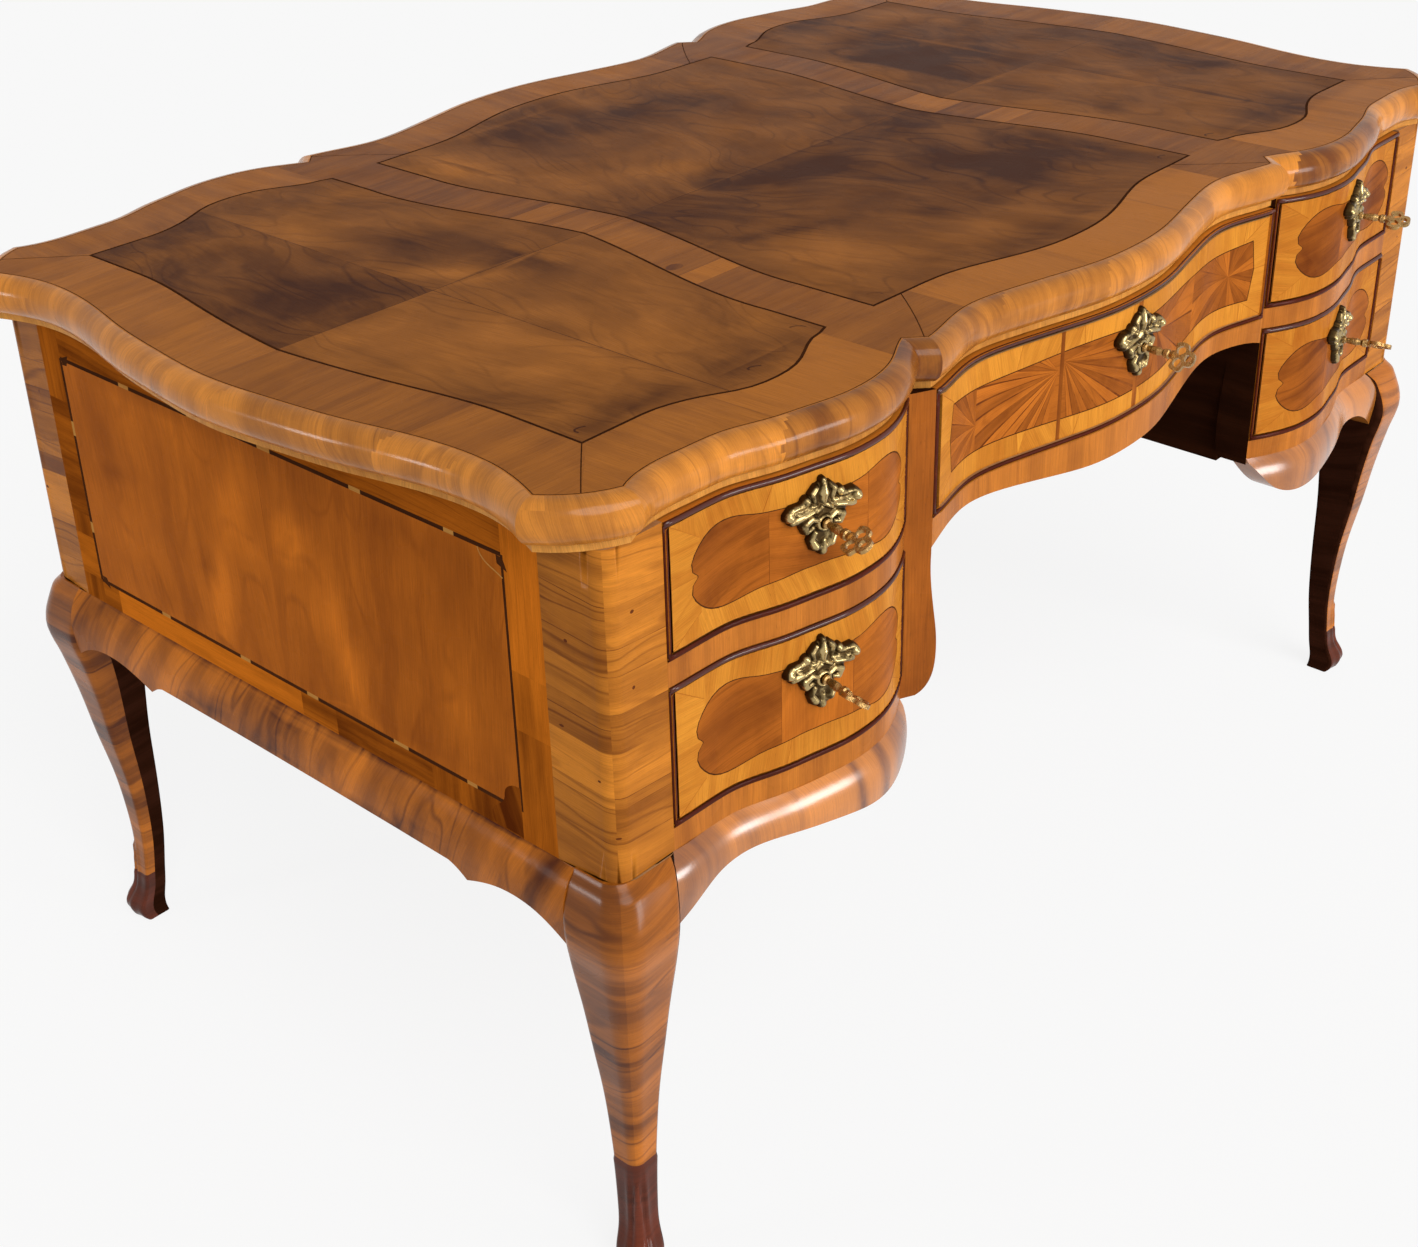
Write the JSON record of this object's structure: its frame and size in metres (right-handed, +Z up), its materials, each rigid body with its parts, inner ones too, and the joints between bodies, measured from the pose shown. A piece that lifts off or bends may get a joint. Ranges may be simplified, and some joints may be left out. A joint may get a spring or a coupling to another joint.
{
  "type": "writing desk",
  "caption": "Kneehole writing desk with a serpentine top, curved drawer fronts, cabriole legs and brass key plates.",
  "frame": {"origin": "on the floor, under the middle of the box that the desk and its keys take up", "axes": "+Z up, +X to the right for someone who looks at the drawer fronts, which face -Y"},
  "size_m": [1.5, 0.9572, 0.795],
  "materials": {
    "top_veneer": "polished figured walnut veneer",
    "edge_veneer": "polished cross-grained walnut",
    "panel_veneer": "polished figured walnut veneer",
    "leg_walnut": "polished cross-banded walnut",
    "frame_walnut": "polished cross-grained walnut",
    "front_veneer": "polished inlaid walnut veneer",
    "dark_walnut": "dark stained wood",
    "inner_timber": "plain unpolished wood",
    "drawer_timber": "plain oiled wood",
    "cast_brass": "cast and burnished",
    "key_brass": "cast and burnished",
    "lock_steel": "dull bright steel"
  },
  "bodies": {
    "carcass": {"top_board": "top_veneer", "top_edge_moulding": "edge_veneer", "side_panel_left": "panel_veneer", "side_panel_right": "panel_veneer", "front_left_leg": "leg_walnut", "front_right_leg": "leg_walnut", "back_left_leg": "leg_walnut", "back_right_leg": "leg_walnut", "side_apron_left": "frame_walnut", "side_apron_right": "frame_walnut", "front_apron_left": "frame_walnut", "front_apron_right": "frame_walnut", "back_apron_left": "frame_walnut", "back_apron_right": "frame_walnut", "kneehole_apron": "frame_walnut", "kneehole_wall_left": "dark_walnut", "kneehole_wall_right": "dark_walnut", "kneehole_stile_left": "frame_walnut", "kneehole_stile_right": "frame_walnut", "back_panel_left": "panel_veneer", "back_panel_right": "panel_veneer", "back_panel_centre": "panel_veneer", "mid_rail_left": "frame_walnut", "mid_rail_right": "frame_walnut", "bottom_rail_left": "frame_walnut", "bottom_rail_right": "frame_walnut", "pedestal_floor_left": "inner_timber", "pedestal_floor_right": "inner_timber", "pedestal_drawer_runners": "inner_timber", "centre_drawer_runners": "inner_timber"},
    "upper_left_drawer": {"upper_left_drawer_front": "front_veneer", "upper_left_drawer_box": "drawer_timber", "upper_left_drawer_escutcheon": "cast_brass", "upper_left_drawer_lock_case": "lock_steel"},
    "upper_left_drawer_key": {"upper_left_drawer_key": "key_brass"},
    "upper_left_drawer_lock_bolt": {"upper_left_drawer_lock_bolt": "lock_steel"},
    "lower_left_drawer": {"lower_left_drawer_front": "front_veneer", "lower_left_drawer_box": "drawer_timber", "lower_left_drawer_escutcheon": "cast_brass", "lower_left_drawer_lock_case": "lock_steel"},
    "lower_left_drawer_key": {"lower_left_drawer_key": "key_brass"},
    "lower_left_drawer_lock_bolt": {"lower_left_drawer_lock_bolt": "lock_steel"},
    "centre_drawer": {"centre_drawer_front": "front_veneer", "centre_drawer_box": "drawer_timber", "centre_drawer_escutcheon": "cast_brass", "centre_drawer_lock_case": "lock_steel"},
    "centre_drawer_key": {"centre_drawer_key": "key_brass"},
    "centre_drawer_lock_bolt": {"centre_drawer_lock_bolt": "lock_steel"},
    "upper_right_drawer": {"upper_right_drawer_front": "front_veneer", "upper_right_drawer_box": "drawer_timber", "upper_right_drawer_escutcheon": "cast_brass", "upper_right_drawer_lock_case": "lock_steel"},
    "upper_right_drawer_key": {"upper_right_drawer_key": "key_brass"},
    "upper_right_drawer_lock_bolt": {"upper_right_drawer_lock_bolt": "lock_steel"},
    "lower_right_drawer": {"lower_right_drawer_front": "front_veneer", "lower_right_drawer_box": "drawer_timber", "lower_right_drawer_escutcheon": "cast_brass", "lower_right_drawer_lock_case": "lock_steel"},
    "lower_right_drawer_key": {"lower_right_drawer_key": "key_brass"},
    "lower_right_drawer_lock_bolt": {"lower_right_drawer_lock_bolt": "lock_steel"}
  },
  "joints": [
    {"name": "upper_left_drawer_slide", "type": "slide", "parent": "carcass", "child": "upper_left_drawer", "axis": [0, -1, 0], "range_m": [0, 0.42]},
    {"name": "upper_left_drawer_key_turn", "type": "hinge", "parent": "upper_left_drawer", "child": "upper_left_drawer_key", "pos_m": [-0.466, -0.40528, 0.6975], "axis": [-0.2255, -0.9742, 0], "range_deg": [0, 180]},
    {"name": "upper_left_drawer_bolt_slide", "type": "slide", "parent": "upper_left_drawer", "child": "upper_left_drawer_lock_bolt", "axis": [0, 0, 1], "range_m": [0, 0.012]},
    {"name": "lower_left_drawer_slide", "type": "slide", "parent": "carcass", "child": "lower_left_drawer", "axis": [0, -1, 0], "range_m": [0, 0.42]},
    {"name": "lower_left_drawer_key_turn", "type": "hinge", "parent": "lower_left_drawer", "child": "lower_left_drawer_key", "pos_m": [-0.466, -0.40528, 0.5505], "axis": [-0.2255, -0.9742, 0], "range_deg": [0, 180]},
    {"name": "lower_left_drawer_bolt_slide", "type": "slide", "parent": "lower_left_drawer", "child": "lower_left_drawer_lock_bolt", "axis": [0, 0, 1], "range_m": [0, 0.012]},
    {"name": "centre_drawer_slide", "type": "slide", "parent": "carcass", "child": "centre_drawer", "axis": [0, -1, 0], "range_m": [0, 0.42]},
    {"name": "centre_drawer_key_turn", "type": "hinge", "parent": "centre_drawer", "child": "centre_drawer_key", "pos_m": [0, -0.4145, 0.6975], "axis": [0, -1, 0], "range_deg": [0, 180]},
    {"name": "centre_drawer_bolt_slide", "type": "slide", "parent": "centre_drawer", "child": "centre_drawer_lock_bolt", "axis": [0, 0, 1], "range_m": [0, 0.012]},
    {"name": "upper_right_drawer_slide", "type": "slide", "parent": "carcass", "child": "upper_right_drawer", "axis": [0, -1, 0], "range_m": [0, 0.42]},
    {"name": "upper_right_drawer_key_turn", "type": "hinge", "parent": "upper_right_drawer", "child": "upper_right_drawer_key", "pos_m": [0.466, -0.40528, 0.6975], "axis": [0.2255, -0.9742, 0], "range_deg": [0, 180]},
    {"name": "upper_right_drawer_bolt_slide", "type": "slide", "parent": "upper_right_drawer", "child": "upper_right_drawer_lock_bolt", "axis": [0, 0, 1], "range_m": [0, 0.012]},
    {"name": "lower_right_drawer_slide", "type": "slide", "parent": "carcass", "child": "lower_right_drawer", "axis": [0, -1, 0], "range_m": [0, 0.42]},
    {"name": "lower_right_drawer_key_turn", "type": "hinge", "parent": "lower_right_drawer", "child": "lower_right_drawer_key", "pos_m": [0.466, -0.40528, 0.5505], "axis": [0.2255, -0.9742, 0], "range_deg": [0, 180]},
    {"name": "lower_right_drawer_bolt_slide", "type": "slide", "parent": "lower_right_drawer", "child": "lower_right_drawer_lock_bolt", "axis": [0, 0, 1], "range_m": [0, 0.012]}
  ],
  "couplings": [
    {"joint": "upper_left_drawer_key_turn", "follows": "upper_left_drawer_bolt_slide", "rad_per_m": 261.8},
    {"joint": "lower_left_drawer_key_turn", "follows": "lower_left_drawer_bolt_slide", "rad_per_m": 261.8},
    {"joint": "centre_drawer_key_turn", "follows": "centre_drawer_bolt_slide", "rad_per_m": 261.8},
    {"joint": "upper_right_drawer_key_turn", "follows": "upper_right_drawer_bolt_slide", "rad_per_m": 261.8},
    {"joint": "lower_right_drawer_key_turn", "follows": "lower_right_drawer_bolt_slide", "rad_per_m": 261.8}
  ]
}
